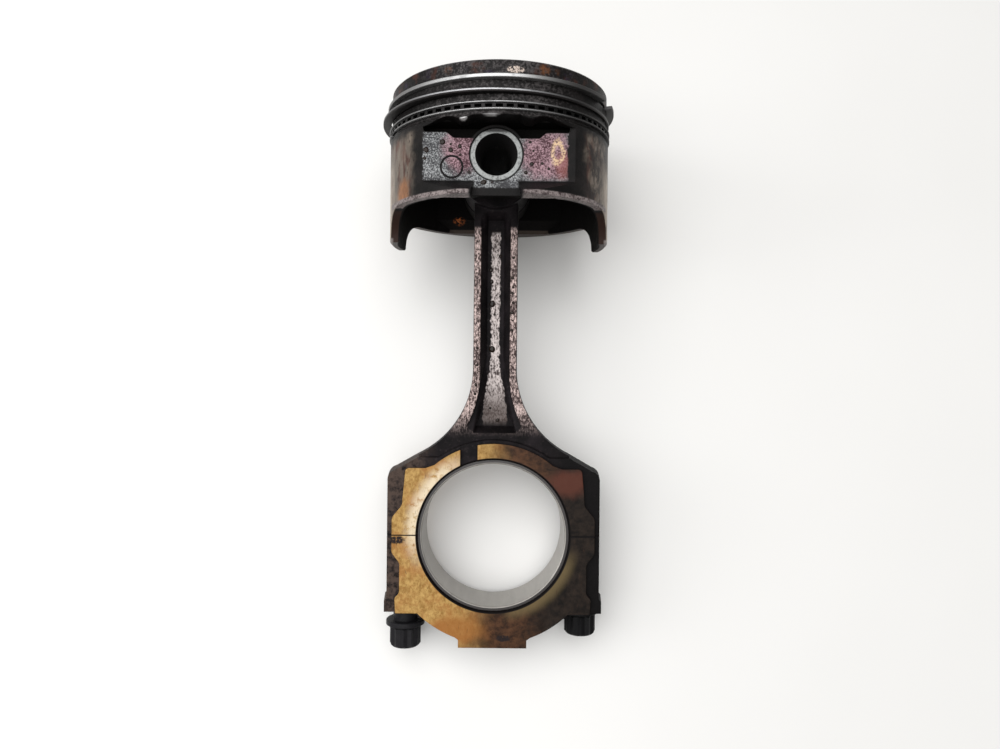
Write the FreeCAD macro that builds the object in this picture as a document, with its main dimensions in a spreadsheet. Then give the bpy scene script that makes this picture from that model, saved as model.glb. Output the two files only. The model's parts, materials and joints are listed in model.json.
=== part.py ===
import FreeCAD, Part
import math
import os
import re
import Sketcher

# Piston and connecting rod of a small four-stroke engine, lying on a flat surface.
#
# Three frames are used, all in millimetres:
#   rod frame     origin at the big-end centre, Y along the rod towards the piston, Z along the crankpin
#   piston frame  origin at the wrist pin's centre, Z up to the crown, Y along the wrist pin
#   row frame     Z up from the surface that the object lies on, origin under the middle of its box
# The piston frame's Z is the rod frame's Y, and its Y is the rod frame's -Z.

DIMENSIONS = {
    # whole assembly
    "rod_length": (132.5, "big-end centre to wrist pin centre"),
    "bolt_x": (32.8, "rod bolt axis from the rod's centre line"),
    # piston, turned outside
    "skirt_r": (40.5, "skirt radius"),
    "pin_offset": (0.9, "piston axis, to one side of the wrist pin's"),
    "land_r": (39.85, "radius of the lands between the rings"),
    "crown_top": (28.5, "crown above the pin centre"),
    "crown_chamfer": (0.6, "chamfer round the crown"),
    "top_land": (5.4, "crown to the first groove"),
    "ring_groove": (1.25, "height of a compression ring groove"),
    "second_land": (3.45, "height of the second land"),
    "third_land": (2.5, "height of the third land"),
    "oil_groove": (2.8, "height of the oil ring groove"),
    "belt_base": (10.6, "underside of the ring belt above the pin centre"),
    "groove_floor_r": (36.4, "radius of the groove floors"),
    "dish_r": (27.0, "radius of the crown's dish"),
    "dish_depth": (1.3, "depth of the crown's dish"),
    "relief_depth": (1.0, "depth of the valve reliefs below the crown"),
    "inlet_relief_r": (14.5, "radius of the two larger valve reliefs"),
    "outlet_relief_r": (12.5, "radius of the two smaller valve reliefs"),
    "relief_x": (16.0, "valve relief centres either side of the pin axis"),
    "relief_y": (16.5, "valve relief centres along the pin axis"),
    # piston, cast inside
    "crown_thick": (7.4, "crown thickness"),
    "belt_inner_r": (32.2, "inside radius of the ring belt"),
    "skirt_inner_r": (37.2, "inside radius of the skirt"),
    "side_y": (31.3, "flat on the pin boss side, from the piston axis"),
    "side_inner_y": (27.2, "inner face of the pin boss side wall"),
    "pocket_floor_y": (23.6, "floor of the pocket under the ring belt"),
    "pocket_back_y": (21.2, "inner face behind that pocket"),
    "boss_gap": (23.0, "gap between the pin bosses"),
    "boss_r": (13.6, "outer radius of a pin boss"),
    "boss_web": (8.0, "half width of the web from boss to crown"),
    "pin_bore_r": (9.03, "pin bore radius in the piston"),
    # piston, lower edge
    "rim_drop": (14.9, "lower rim below the pin centre"),
    "ledge_top": (9.2, "where the flat ends above the rim"),
    "ledge_edge": (14.5, "outer edge of the sloped ledge"),
    "rim_inner_y": (32.2, "inner edge of the lower rim on the boss side"),
    "flare_top": (10.2, "top of the flare inside the lower rim"),
    "notch_half": (7.9, "half width of the notch in the rim under the boss"),
    "tongue_drop": (26.0, "lower end of the skirt tongues"),
    "tongue_half": (9.0, "half width of a skirt tongue"),
    "tongue_arc": (11.5, "radius between rim and tongue"),
    # piston, details of the flat
    "pad_high": (7.3, "pocket's lower edge near the ends of the flat"),
    "pad_low": (5.4, "pocket's lower edge beside the boss"),
    "pad_end": (24.6, "end of the pocket"),
    "lip_r": (9.9, "lip round the pin bore"),
    "scallop_low": (8.9, "lowest point of the belt's scalloped edge"),
    "mark_x": (-14.95, "round casting mark, across"),
    "mark_z": (-4.4, "round casting mark, up"),
    "mark_r": (4.0, "round casting mark, radius"),
    "mark_line": (0.7, "width of the mark's line"),
    "mark_depth": (0.35, "depth of the mark's line"),
    "drain_r": (1.1, "oil drain hole radius"),
    "drain_inner_y": (7.0, "inner pair of drain holes"),
    "drain_outer_y": (17.5, "outer pair of drain holes"),
    # rings, sprung open as they sit off the engine
    "ring_r": (42.0, "free outer radius of a compression ring"),
    "ring_height": (1.2, "compression ring height"),
    "ring_width": (3.0, "compression ring radial width"),
    "ring_edge": (0.15, "rounding of a ring's outer corners"),
    "top_shift": (0.5, "sideways shift of the top ring in its groove"),
    "second_shift": (-1.3, "sideways shift of the second ring in its groove"),
    "ring_gap": (11.5, "angle of a compression ring's open gap"),
    "rail_r": (41.0, "free outer radius of an oil ring rail"),
    "rail_height": (0.45, "oil ring rail height"),
    "rail_width": (2.5, "oil ring rail radial width"),
    "rail_gap": (9.0, "angle of a rail's open gap"),
    "expander_height": (1.8, "oil ring expander height"),
    "expander_r": (40.4, "oil ring expander outer radius"),
    "expander_width": (2.2, "oil ring expander radial width"),
    "expander_gap": (4.0, "angle of the expander's open gap"),
    "window_pitch": (5.0, "angle between the expander's windows"),
    "window_wide": (2.3, "width of an expander window"),
    "window_high": (1.0, "height of an expander window"),
    # wrist pin
    "pin_r": (9.0, "wrist pin radius"),
    "pin_length": (62.0, "wrist pin length"),
    "pin_hole_r": (5.4, "wrist pin inside radius"),
    "pin_mouth_r": (7.15, "inside radius at the pin's ends"),
    "pin_cone": (9.0, "depth of the conical mouth"),
    "pin_chamfer": (0.35, "chamfer on the pin's ends"),
    # connecting rod
    "beam_half": (8.25, "half width of the beam"),
    "beam_thick": (7.5, "half thickness of the beam"),
    "flank_start": (60.0, "where the flanks start to spread"),
    "flank_r": (35.5, "radius of the flanks"),
    "flank_x": (28.0, "end of the flank arc, across"),
    "flank_y": (29.1, "end of the flank arc, along"),
    "shoulder_x": (36.6, "start of the shoulder rounding, across"),
    "shoulder_y": (24.2, "start of the shoulder rounding, along"),
    "shoulder_r": (4.2, "shoulder rounding"),
    "block_half": (39.7, "half width of the big end at its parting line"),
    "block_thick": (9.4, "half thickness of the big-end forging"),
    "trim": (3.0, "forging left for cutting off square at the split and the seats"),
    "forge_draft": (6.0, "draft angle of the forging"),
    "block_top_r": (35.6, "radius of the big end above the bore"),
    "block_top_x": (20.5, "end of that arc, across"),
    "face_half": (11.0, "half width between the thrust faces"),
    "face_r": (33.4, "outer radius of the thrust face above the bore"),
    "face_x": (21.5, "end of that arc, across"),
    "ear_x": (30.6, "start of the thrust face's corner, across"),
    "ear_y": (24.4, "top of the thrust face's corner"),
    "ear_r": (1.5, "rounding of that corner"),
    "face_wide": (36.8, "half width of the thrust face at the split"),
    "face_wide_y": (5.0, "where it starts to narrow"),
    "face_neck": (33.0, "half width of the thrust face at its neck"),
    "face_neck_y": (13.0, "height of the neck"),
    "channel_half": (5.5, "half width of the beam's channel"),
    "channel_floor": (2.1, "half thickness of the web"),
    "channel_draft": (24.0, "slope of the channel's sides"),
    "channel_foot_half": (10.2, "half width of the channel's foot"),
    "channel_foot_y": (37.2, "channel's foot, along"),
    "channel_foot_r": (40.5, "radius of the channel's flanks"),
    "channel_head_y": (118.5, "channel's upper end"),
    "eye_r": (13.4, "small-end outer radius"),
    "eye_half": (11.0, "half width of the small end"),
    "bore_r": (27.5, "big-end bore without shells"),
    "bore_chamfer": (0.6, "chamfer of the big-end bore"),
    "slot_in": (5.9, "oil slot, inner side"),
    "slot_out": (12.2, "oil slot, outer side"),
    "slot_depth": (1.7, "oil slot depth"),
    "tang_wide": (4.0, "bearing tang width"),
    "tang_z": (7.2, "bearing tang centre towards the front"),
    "tang_high": (3.0, "bearing tang height along the rod"),
    "tang_deep": (1.1, "bearing tang standing out of the shell's back"),
    "tang_play": (0.2, "clearance round a tang"),
    # cap
    "seat_y": (28.3, "bolt seat below the split"),
    "cap_neck": (33.9, "half width of the cap's thrust face at its neck"),
    "cap_neck_top": (11.4, "top of the cap's neck"),
    "cap_neck_foot": (20.0, "foot of the cap's neck"),
    "cap_foot_face": (35.5, "half width of the thrust face over the seats"),
    "foot_half": (40.6, "half width of the cap at the bolt seats"),
    "foot_y": (23.4, "top of the wider cap foot"),
    "cap_r": (39.3, "outer radius of the cap"),
    "cap_r_end": (13.6, "end of the cap's outer arc, across"),
    "cap_pad_half": (12.4, "half width of the balance pad"),
    "cap_pad_y": (40.6, "bottom of the balance pad"),
    # bearing shells
    "shell_r": (26.0, "crankpin bearing bore"),
    "shell_half": (9.8, "half width of the shells"),
    "shell_chamfer": (0.4, "chamfer on the shells' inner edges"),
    # rod bolts
    "shank_r": (4.5, "fitted shank radius"),
    "thread_r": (4.4, "thread radius"),
    "thread_start": (8.0, "thread starts this far above the split"),
    "thread_depth": (20.0, "tapped hole depth above the split"),
    "bolt_reach": (46.0, "bolt length under the head"),
    "bolt_play": (0.07, "clearance round the shank"),
    "spot_play": (0.3, "clearance round the flange in its spot face"),
    "flange_r": (7.2, "bolt flange radius"),
    "flange_high": (1.7, "bolt flange thickness at its edge"),
    "head_r": (5.8, "bolt head radius over its points"),
    "head_valley_r": (5.15, "bolt head radius in its valleys"),
    "head_base": (2.8, "where the points start"),
    "head_high": (9.8, "bolt head height over all"),
    "head_chamfer": (0.8, "chamfer on the head"),
    "dimple_r": (2.8, "hollow in the end of the head"),
    "dimple_deep": (1.2, "depth of that hollow"),
    "backed_out": (5.2, "how far the left bolt is unscrewed"),
}

doc = FreeCAD.newDocument("piston_and_rod")
sheet = doc.addObject("Spreadsheet::Sheet", "sheet")
for row, (name, (size, meaning)) in enumerate(DIMENSIONS.items(), 1):
    sheet.set(f"A{row}", meaning)
    sheet.set(f"B{row}", str(size))
    sheet.setAlias(f"B{row}", name)
doc.recompute()

WORD = re.compile(r"[a-z][a-z0-9_]*")


def bound(text):
    """The text of an expression with every dimension name pointed at the sheet."""
    return WORD.sub(lambda m: f"sheet.{m.group()}" if m.group() in DIMENSIONS else m.group(), text)


def number(text):
    """The present value of an expression written with dimension names."""
    return float(sheet.evalExpression(bound(text)))


def new_body(label):
    body = doc.addObject("PartDesign::Body", label)
    body.Label = label
    return body


def origin_item(body, role):
    return next(item for item in body.Origin.OriginFeatures if item.Role == role)


def new_sketch(body, name, plane, offset="0", across="0"):
    """A sketch on one of the body's origin planes, moved along that plane's normal by the offset,
    and sideways in it by across."""
    sketch = body.newObject("Sketcher::SketchObject", name)
    sketch.AttachmentSupport = [(origin_item(body, plane), "")]
    sketch.MapMode = "FlatFace"
    if offset != "0":
        sketch.setExpression("AttachmentOffset.Base.z", bound(offset))
    if across != "0":
        sketch.setExpression("AttachmentOffset.Base.x", bound(across))
    return sketch


def pin_vertex(sketch, geometry, end, x, y):
    """Tie one end of a piece of geometry to a place given by two expressions."""
    for kind, text, axis in (("DistanceX", x, -2), ("DistanceY", y, -1)):
        if text == "0":
            sketch.addConstraint(Sketcher.Constraint("PointOnObject", geometry, end, axis))
            continue
        index = sketch.addConstraint(Sketcher.Constraint(kind, -1, 1, geometry, end, number(text)))
        sketch.setExpression(f"Constraints[{index}]", bound(text))


def outline(sketch, corners):
    """A closed outline. A corner is (x, y), or (x, y, radius) where an arc of less than a half turn
    runs to the next corner: a positive radius turns left, a negative one turns right."""
    places = [FreeCAD.Vector(number(c[0]), number(c[1]), 0) for c in corners]
    pieces = []
    for i, corner in enumerate(corners):
        here = places[i]
        there = places[(i + 1) % len(places)]
        if len(corner) == 2:
            index = sketch.addGeometry(Part.LineSegment(here, there), False)
            pieces.append((index, 1, 2))
            continue
        radius = number(corner[2])
        middle = (here + there) * 0.5
        left = FreeCAD.Vector(here.y - there.y, there.x - here.x, 0).normalize()
        half = here.distanceToPoint(there) / 2
        height = math.sqrt(max(radius * radius - half * half, 0.0))
        centre = middle + left * math.copysign(height, radius)
        first, last = (here, there) if radius > 0 else (there, here)
        start = math.atan2(first.y - centre.y, first.x - centre.x)
        stop = math.atan2(last.y - centre.y, last.x - centre.x)
        if stop < start:
            stop += 2 * math.pi
        circle = Part.Circle(centre, FreeCAD.Vector(0, 0, 1), abs(radius))
        index = sketch.addGeometry(Part.ArcOfCircle(circle, start, stop), False)
        pieces.append((index, 1, 2) if radius > 0 else (index, 2, 1))
        size = sketch.addConstraint(Sketcher.Constraint("Radius", index, abs(radius)))
        sketch.setExpression(f"Constraints[{size}]", bound(f"abs({corner[2]})"))
    for i, (index, begin, _) in enumerate(pieces):
        before, _, end = pieces[i - 1]
        sketch.addConstraint(Sketcher.Constraint("Coincident", before, end, index, begin))
        pin_vertex(sketch, index, begin, corners[i][0], corners[i][1])


def mirrored(half):
    """The outline made of these corners, which start and end at the vertical axis or level with their
    mirror image, and of their mirror image."""
    corners = list(half)
    for i in range(len(half) - 1, -1, -1):
        x, y = half[i][:2]
        arc = half[i - 1][2:] if i > 0 else ()
        if x == "0":
            if i == len(half) - 1:
                corners[-1] = (x, y) + tuple(arc)
            continue
        corners.append((f"-({x})", y) + tuple(arc))
    return corners


def circle(sketch, x, y, radius):
    middle = FreeCAD.Vector(number(x), number(y), 0)
    shape = Part.Circle(middle, FreeCAD.Vector(0, 0, 1), number(radius))
    index = sketch.addGeometry(shape, False)
    pin_vertex(sketch, index, 3, x, y)
    size = sketch.addConstraint(Sketcher.Constraint("Radius", index, number(radius)))
    sketch.setExpression(f"Constraints[{size}]", bound(radius))


def extrude(body, kind, name, sketch, length, side="One side", reverse=False, draft="0"):
    """A pad or a pocket of the sketch; it must change the volume of the body."""
    before = body.Shape.Volume if body.Tip else 0.0
    feature = body.newObject(f"PartDesign::{kind}", name)
    feature.Profile = (sketch, [""])
    if length == "all":
        feature.Type = "ThroughAll"
    else:
        feature.setExpression("Length", bound(length))
    feature.SideType = side
    feature.Reversed = reverse
    if side == "Two sides":
        feature.setExpression("Length2", bound(length))
    if draft != "0":
        feature.setExpression("TaperAngle", bound(draft))
        if side == "Two sides":
            feature.setExpression("TaperAngle2", bound(draft))
    doc.recompute()
    change = body.Shape.Volume - before
    if (kind == "Pad") != (change > 0) or abs(change) < 1e-3:
        raise RuntimeError(f"{name} changed the volume of {body.Label} by {change:.3f}")
    return feature


def turn(body, kind, name, sketch, angle="360"):
    """A revolution or groove of the sketch about its vertical axis."""
    feature = body.newObject(f"PartDesign::{kind}", name)
    feature.Profile = (sketch, [""])
    feature.ReferenceAxis = (sketch, ["V_Axis"])
    feature.setExpression("Angle", bound(angle))
    doc.recompute()
    return feature


def dress(body, kind, name, size, wanted):
    """A fillet or chamfer on the edges of the body that pass the test."""
    tip = body.Tip
    edges = [f"Edge{i}" for i, edge in enumerate(tip.Shape.Edges, 1) if wanted(edge)]
    if not edges:
        raise RuntimeError(f"{name} finds no edge")
    feature = body.newObject(f"PartDesign::{kind}", name)
    feature.Base = (tip, edges)
    feature.setExpression("Radius" if kind == "Fillet" else "Size", bound(size))
    doc.recompute()
    return feature


def is_circle(edge, radius):
    return isinstance(edge.Curve, Part.Circle) and abs(edge.Curve.Radius - number(radius)) < 1e-4


# ---------------------------------------------------------------------------------------- piston

def make_piston():
    body = new_body("piston")
    turned = new_sketch(body, "piston_profile", "XZ_Plane", across="pin_offset")
    first_groove = "crown_top - top_land"
    second_groove = f"{first_groove} - ring_groove - second_land"
    oil_groove = f"{second_groove} - ring_groove - third_land"
    inside_top = "crown_top - crown_thick"
    outline(turned, [
        ("0", "crown_top - dish_depth"),
        ("dish_r", "crown_top - dish_depth"),
        ("dish_r + dish_depth", "crown_top"),
        ("land_r - crown_chamfer", "crown_top"),
        ("land_r", "crown_top - crown_chamfer"),
        ("land_r", first_groove),
        ("groove_floor_r", first_groove),
        ("groove_floor_r", f"{first_groove} - ring_groove"),
        ("land_r", f"{first_groove} - ring_groove"),
        ("land_r", second_groove),
        ("groove_floor_r", second_groove),
        ("groove_floor_r", f"{second_groove} - ring_groove"),
        ("land_r", f"{second_groove} - ring_groove"),
        ("land_r", oil_groove),
        ("groove_floor_r", oil_groove),
        ("groove_floor_r", f"{oil_groove} - oil_groove"),
        ("land_r", f"{oil_groove} - oil_groove"),
        ("land_r", "belt_base + 0.3"),
        ("skirt_r", "belt_base - 0.4"),
        ("skirt_r", "-tongue_drop + 0.9"),
        ("skirt_r - 0.9", "-tongue_drop"),
        ("skirt_inner_r + 0.5", "-tongue_drop"),
        ("skirt_inner_r", "-tongue_drop + 0.5"),
        ("skirt_inner_r", "belt_base - 3", "6.5"),
        ("belt_inner_r", "belt_base + 1.8"),
        ("belt_inner_r", f"{inside_top} - 4", "4"),
        ("belt_inner_r - 4", inside_top),
        ("0", inside_top),
    ])
    turn(body, "Revolution", "piston_turned", turned)

    # side walls: two segments inside the skirt, and thicker ones behind the ring belt
    for name, face, low in (
            ("side_walls", "side_inner_y", "-rim_drop"),
            ("belt_walls", "pocket_back_y", "2")):
        plan = new_sketch(body, f"{name}_plan", "XY_Plane", low, "pin_offset")
        radius = "skirt_inner_r + 0.4"
        end = f"sqrt(({radius}) * ({radius}) - {face} * {face})"
        outline(plan, [(f"-{end}", f"-{face}", radius), (end, f"-{face}")])
        outline(plan, [(end, face, radius), (f"-{end}", face)])
        extrude(body, "Pad", name, plan, f"{inside_top} + 0.3 - ({low})")

    # pin bosses with a web up to the crown, then the gap for the small end
    bosses = new_sketch(body, "bosses_front", "XZ_Plane")
    web_foot = "sqrt(boss_r * boss_r - boss_web * boss_web)"
    outline(bosses, [
        ("boss_web", f"{inside_top} + 0.3"),
        ("-boss_web", f"{inside_top} + 0.3"),
        ("-boss_web", web_foot),
        ("-boss_r", "0", "boss_r"),
        ("0", "-boss_r", "boss_r"),
        ("boss_r", "0"),
        ("boss_web", web_foot),
    ])
    extrude(body, "Pad", "bosses", bosses, "side_inner_y * 2 + 1", side="Symmetric")
    gap = new_sketch(body, "boss_gap_front", "XZ_Plane")
    outline(gap, [
        ("-boss_r - 1", "-boss_r - 1"),
        ("boss_r + 1", "-boss_r - 1"),
        ("boss_r + 1", inside_top),
        ("-boss_r - 1", inside_top),
    ])
    extrude(body, "Pocket", "boss_gap_cut", gap, "boss_gap", side="Symmetric")

    # the flats with the sloped ledge under them, seen along X
    flats = new_sketch(body, "flats_side", "YZ_Plane")
    for side in ("", "-"):
        outline(flats, [
            (f"{side}side_y", "scallop_low"),
            (f"{side}(side_y)", "-ledge_top"),
            (f"{side}(skirt_r - 0.2)", "-ledge_edge"),
            (f"{side}(skirt_r + 2)", "-ledge_edge"),
            (f"{side}(skirt_r + 2)", "scallop_low"),
        ])
    extrude(body, "Pocket", "flats", flats, "all", side="Symmetric")

    # under the ring belt: its scalloped edge outside the flats, then the deep pocket inside them
    lip_x = "sqrt(lip_r * lip_r - pad_low * pad_low)"
    for side, reverse, face_name in (("-", True, "back"), ("", False, "front")):
        scallops = new_sketch(body, f"scallops_{face_name}", "XZ_Plane", f"{side}side_y")
        outline(scallops, mirrored([
            ("0", "belt_base"),
            ("8", "belt_base", "6"),
            ("12", "scallop_low + 0.5", "-7"),
            ("19.5", "belt_base - 0.2", "12"),
            ("pad_end + 1.5", "scallop_low + 0.1"),
            ("pad_end + 1.5", "scallop_low - 1"),
            ("0", "scallop_low - 1"),
        ]))
        extrude(body, "Pocket", f"scallop_cut_{face_name}", scallops, "12", reverse=not reverse)
        pocket = new_sketch(body, f"pocket_{face_name}", "XZ_Plane", f"{side}side_y")
        outline(pocket, mirrored([
            ("0", "lip_r", "-lip_r"),
            (lip_x, "pad_low"),
            ("14.6", "pad_low"),
            ("16.8", "pad_high"),
            ("pad_end - 1", "pad_high", "1"),
            ("pad_end", "pad_high + 1"),
            ("pad_end", "belt_base + 0.2"),
            ("0", "belt_base + 0.2"),
        ]))
        depth = "side_y - pocket_floor_y"
        extrude(body, "Pocket", f"pocket_cut_{face_name}", pocket, depth, reverse=reverse)

    # lower rim: notch under the boss, flare inside, and tongues left on the thrust sides
    for side, reverse, face_name in (("-", True, "back"), ("", False, "front")):
        notch = new_sketch(body, f"notch_{face_name}", "XZ_Plane", f"{side}side_y")
        outline(notch, mirrored([
            ("0", "-ledge_top + 0.4"),
            ("notch_half - 0.6", "-ledge_top + 0.4"),
            ("notch_half + 0.8", "-rim_drop - 1"),
            ("0", "-rim_drop - 1"),
        ]))
        extrude(body, "Pocket", f"notch_cut_{face_name}", notch, "12", reverse=not reverse)
    flare_foot = new_sketch(body, "flare_foot", "XY_Plane", "-rim_drop - 0.01", "pin_offset")
    flare_head = new_sketch(body, "flare_head", "XY_Plane", "-flare_top", "pin_offset")
    for sketch, face in ((flare_foot, "rim_inner_y"), (flare_head, "side_inner_y")):
        end = f"sqrt(skirt_inner_r * skirt_inner_r - {face} * {face})"
        outline(sketch, [
            (f"-{end}", f"-({face})"),
            (end, f"-({face})", "skirt_inner_r"),
            (end, face),
            (f"-{end}", face, "skirt_inner_r"),
        ])
    flare = body.newObject("PartDesign::SubtractiveLoft", "flare")
    flare.Profile = (flare_foot, [""])
    flare.Sections = [(flare_head, [""])]
    doc.recompute()
    tongues = new_sketch(body, "tongues_side", "YZ_Plane")
    for side, arc in (("", "tongue_arc"), ("-", "-tongue_arc")):
        outline(tongues, [
            (f"{side}(tongue_half)", "-rim_drop - tongue_arc", "-(" + arc + ")"),
            (f"{side}(tongue_half + tongue_arc)", "-rim_drop"),
            (f"{side}(skirt_r + 2)", "-rim_drop"),
            (f"{side}(skirt_r + 2)", "-tongue_drop - 4"),
            (f"{side}(tongue_half)", "-tongue_drop - 4"),
        ])
    extrude(body, "Pocket", "tongue_cut", tongues, "all", side="Symmetric")

    # valve reliefs in the crown, oil drain holes in the oil ring groove, the bore and a plain round mark
    relief_floor = "crown_top - relief_depth - dish_depth"
    reliefs = new_sketch(body, "reliefs_plan", "XY_Plane", relief_floor, "pin_offset")
    for x_sign in ("", "-"):
        circle(reliefs, f"{x_sign}relief_x", "-relief_y", "outlet_relief_r")
    inlets = new_sketch(body, "inlets_plan", "XY_Plane", relief_floor, "pin_offset")
    for x_sign in ("", "-"):
        circle(inlets, f"{x_sign}relief_x", "relief_y", "inlet_relief_r")
    extrude(body, "Pocket", "outlet_reliefs", reliefs, "6", reverse=True)
    extrude(body, "Pocket", "inlet_reliefs", inlets, "6", reverse=True)
    drains = new_sketch(body, "drains_side", "YZ_Plane")
    drain_z = f"{oil_groove} - oil_groove / 2"
    for place in ("drain_inner_y", "drain_outer_y"):
        for y_sign in ("", "-"):
            circle(drains, f"{y_sign}{place}", drain_z, "drain_r")
    extrude(body, "Pocket", "drain_holes", drains, "all", side="Symmetric")
    bore = new_sketch(body, "pin_bore_front", "XZ_Plane")
    circle(bore, "0", "0", "pin_bore_r")
    extrude(body, "Pocket", "pin_bore", bore, "all", side="Symmetric")
    mark = new_sketch(body, "mark_front", "XZ_Plane", "side_y")
    circle(mark, "mark_x", "mark_z", "mark_r")
    circle(mark, "mark_x", "mark_z", "mark_r - mark_line")
    extrude(body, "Pocket", "mark", mark, "mark_depth")
    return body


# ----------------------------------------------------------------------------------------- rings

def make_ring(label, radius, width, height, gap, middle):
    """An open ring of rectangular section with its outer corners broken, centred at a height."""
    body = new_body(label)
    section = new_sketch(body, f"{label}_section", "XZ_Plane")
    low = f"{middle} - ({height}) / 2"
    high = f"{middle} + ({height}) / 2"
    outline(section, [
        (f"{radius} - {width}", low),
        (f"{radius} - ring_edge", low),
        (radius, f"{low} + ring_edge"),
        (radius, f"{high} - ring_edge"),
        (f"{radius} - ring_edge", high),
        (f"{radius} - {width}", high),
    ])
    turn(body, "Revolution", f"{label}_turned", section, f"360 - {gap}")
    return body


def make_expander():
    """The oil ring's spacer: an open band with a row of windows all round, cut in groups."""
    body = make_ring("oil_ring_expander", "expander_r", "expander_width", "expander_height", "expander_gap",
                     OIL_MIDDLE)
    group = 6
    windows = new_sketch(body, "windows_plan", "XY_Plane", f"{OIL_MIDDLE} - window_high / 2")
    for i in range(group):
        angle = f"({i} * window_pitch - expander_gap / 2)"
        corners = []
        for radius, side in (("expander_r - expander_width - 1", "-"), ("expander_r + 1", "-"),
                             ("expander_r + 1", ""), ("expander_r - expander_width - 1", "")):
            x = f"({radius}) * cos({angle}) + ({side}1) * window_wide / 2 * sin({angle})"
            y = f"({radius}) * sin({angle}) - ({side}1) * window_wide / 2 * cos({angle})"
            corners.append((x, y))
        outline(windows, corners)
    first = extrude(body, "Pocket", "windows", windows, "window_high", reverse=True)
    row = body.newObject("PartDesign::PolarPattern", "window_groups")
    row.Originals = [first]
    row.Axis = (origin_item(body, "Z_Axis"), [""])
    row.Mode = "Spacing"
    row.setExpression("Offset", bound(f"window_pitch * {group}"))
    row.Occurrences = round(360 / number(f"window_pitch * {group}"))
    body.Tip = row
    doc.recompute()
    return body


# ------------------------------------------------------------------------------------- wrist pin

def make_wrist_pin():
    body = new_body("wrist_pin")
    section = new_sketch(body, "wrist_pin_section", "XZ_Plane")
    half = "pin_length / 2"
    outline(section, [
        ("pin_mouth_r", half),
        ("pin_hole_r", f"{half} - pin_cone"),
        ("pin_hole_r", f"-{half} + pin_cone"),
        ("pin_mouth_r", f"-{half}"),
        ("pin_r - pin_chamfer", f"-{half}"),
        ("pin_r", f"-{half} + pin_chamfer"),
        ("pin_r", f"{half} - pin_chamfer"),
        ("pin_r - pin_chamfer", half),
    ])
    turn(body, "Revolution", "wrist_pin_turned", section)
    return body


# --------------------------------------------------------------------------------- rod and its cap

def square_off(body, half):
    """Cut the drafted forging off square over this area and its mirror image."""
    area = new_sketch(body, f"{body.Label}_trim_plan", "XY_Plane")
    outline(area, mirrored(half))
    extrude(body, "Pocket", f"{body.Label}_trim", area, "all", side="Symmetric")


def split_bore(body):
    """The big-end bore through both sides, chamfered."""
    bore = new_sketch(body, f"{body.Label}_bore_plan", "XY_Plane")
    circle(bore, "0", "0", "bore_r")
    extrude(body, "Pocket", f"{body.Label}_bore", bore, "all", side="Symmetric")
    face = number("face_half")

    def on_thrust_face(edge):
        return is_circle(edge, "bore_r") and abs(abs(edge.Curve.Center.z) - face) < 1e-4

    dress(body, "Chamfer", f"{body.Label}_bore_chamfer", "bore_chamfer", on_thrust_face)


def tang_slot(body, side):
    """Room for the bearing tang at the split, on one side of it."""
    slot = new_sketch(body, f"{body.Label}_tang_plan", "XY_Plane", "tang_z")
    outline(slot, [
        ("bore_r - 1", "0"),
        ("bore_r + tang_deep + tang_play", "0"),
        ("bore_r + tang_deep + tang_play", f"{side}(tang_high + tang_play)"),
        ("bore_r - 1", f"{side}(tang_high + tang_play)"),
    ])
    extrude(body, "Pocket", f"{body.Label}_tang_slot", slot, "tang_wide + tang_play * 2", side="Symmetric")


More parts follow.
